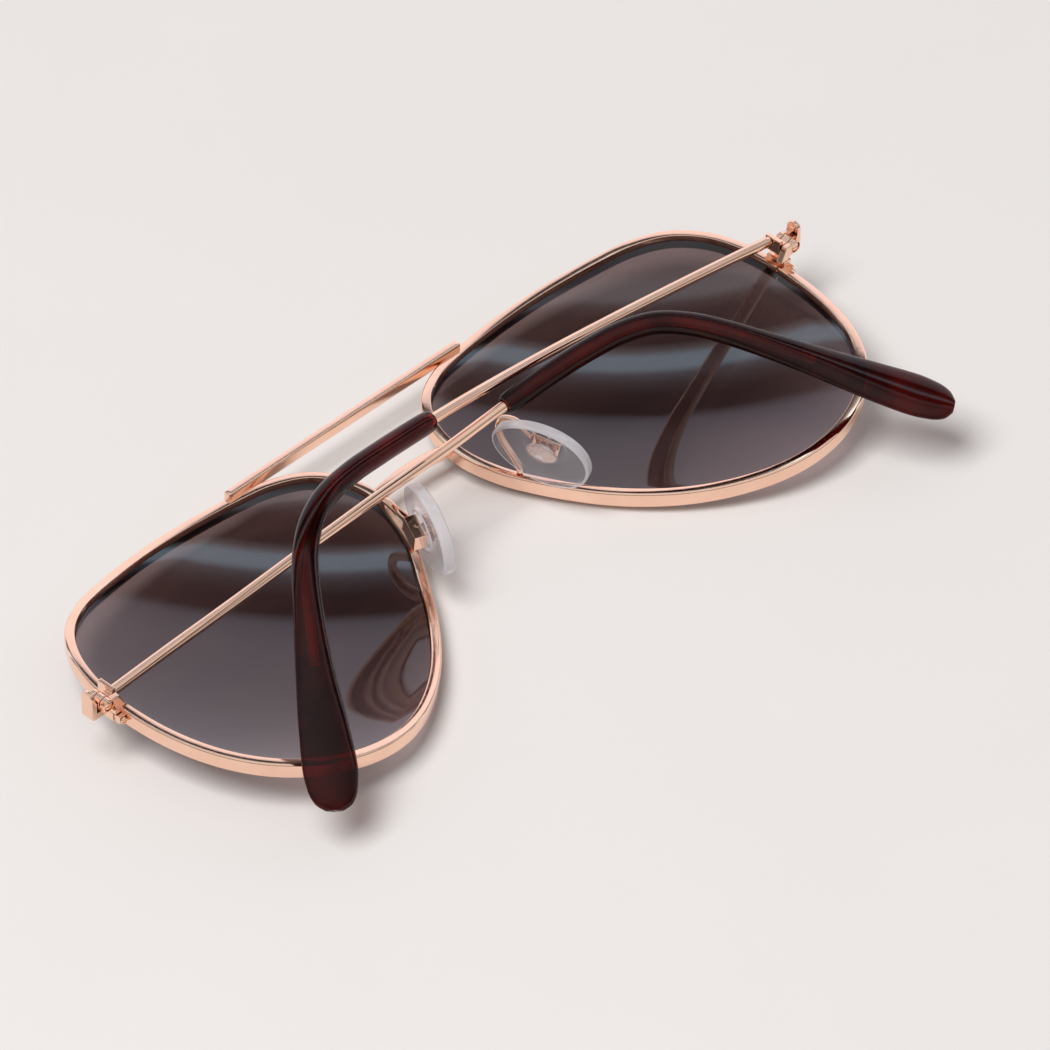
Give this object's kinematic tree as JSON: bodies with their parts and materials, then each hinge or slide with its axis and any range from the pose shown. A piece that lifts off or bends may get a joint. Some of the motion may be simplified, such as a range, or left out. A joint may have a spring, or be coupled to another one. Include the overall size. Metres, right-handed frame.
{
  "type": "aviator sunglasses",
  "caption": "Aviator sunglasses: thin metal rims joined by a bridge and a straight brow bar, dark curved lenses, rocking nose pads, and wire temples with bent plastic tips that fold flat.",
  "frame": {"origin": "centre of the footprint of the folded glasses, on the plane they rest on, which is the plane that touches the fronts of both lenses", "axes": "+X to the wearer's right, +Y up the face towards the brow, +Z from the lenses towards the wearer, which is up from the resting plane"},
  "size_m": [0.1392, 0.0639, 0.0269],
  "materials": {
    "rose_gold": "polished rose-gold plating",
    "screw_metal": "polished",
    "smoke_glass": "smoke grey tint, polished",
    "tip_plastic": "very dark translucent red-brown, glossy",
    "pad_clear": "clear, soft gloss",
    "pad_insert": "satin"
  },
  "bodies": {
    "front": {"brow_bar": "rose_gold", "bridge": "rose_gold", "right_rim": "rose_gold", "right_lens": "smoke_glass", "right_rim_block_upper": "rose_gold", "right_rim_block_lower": "rose_gold", "right_rim_screw": "screw_metal", "right_end_piece": "rose_gold", "right_hinge_front": "rose_gold", "right_hinge_screw": "screw_metal", "right_pad_arm": "rose_gold", "right_pad_box": "rose_gold", "right_pad_screw": "screw_metal", "left_rim": "rose_gold", "left_lens": "smoke_glass", "left_rim_block_upper": "rose_gold", "left_rim_block_lower": "rose_gold", "left_rim_screw": "screw_metal", "left_end_piece": "rose_gold", "left_hinge_front": "rose_gold", "left_hinge_screw": "screw_metal", "left_pad_arm": "rose_gold", "left_pad_box": "rose_gold", "left_pad_screw": "screw_metal"},
    "right_pad": {"right_nose_pad": "pad_clear", "right_pad_core": "pad_insert"},
    "right_temple": {"right_hinge_temple": "rose_gold", "right_temple_wire": "rose_gold", "right_temple_tip": "tip_plastic"},
    "left_pad": {"left_nose_pad": "pad_clear", "left_pad_core": "pad_insert"},
    "left_temple": {"left_hinge_temple": "rose_gold", "left_temple_wire": "rose_gold", "left_temple_tip": "tip_plastic"}
  },
  "joints": [
    {"name": "right_temple_hinge", "type": "hinge", "parent": "front", "child": "right_temple", "pos_m": [0.0674, 0.01017, 0.01119], "axis": [0, 1, 0], "range_deg": [0, 86]},
    {"name": "left_temple_hinge", "type": "hinge", "parent": "front", "child": "left_temple", "pos_m": [-0.0674, 0.01017, 0.01119], "axis": [0, -1, 0], "range_deg": [0, 91]},
    {"name": "right_pad_rock", "type": "hinge", "parent": "front", "child": "right_pad", "pos_m": [0.01295, 0.00406, 0.01021], "axis": [0.0819, -0.2016, 0.976], "range_deg": [-10, 10]},
    {"name": "left_pad_rock", "type": "hinge", "parent": "front", "child": "left_pad", "pos_m": [-0.01295, 0.00406, 0.01021], "axis": [-0.0819, -0.2016, 0.976], "range_deg": [-10, 10]}
  ]
}
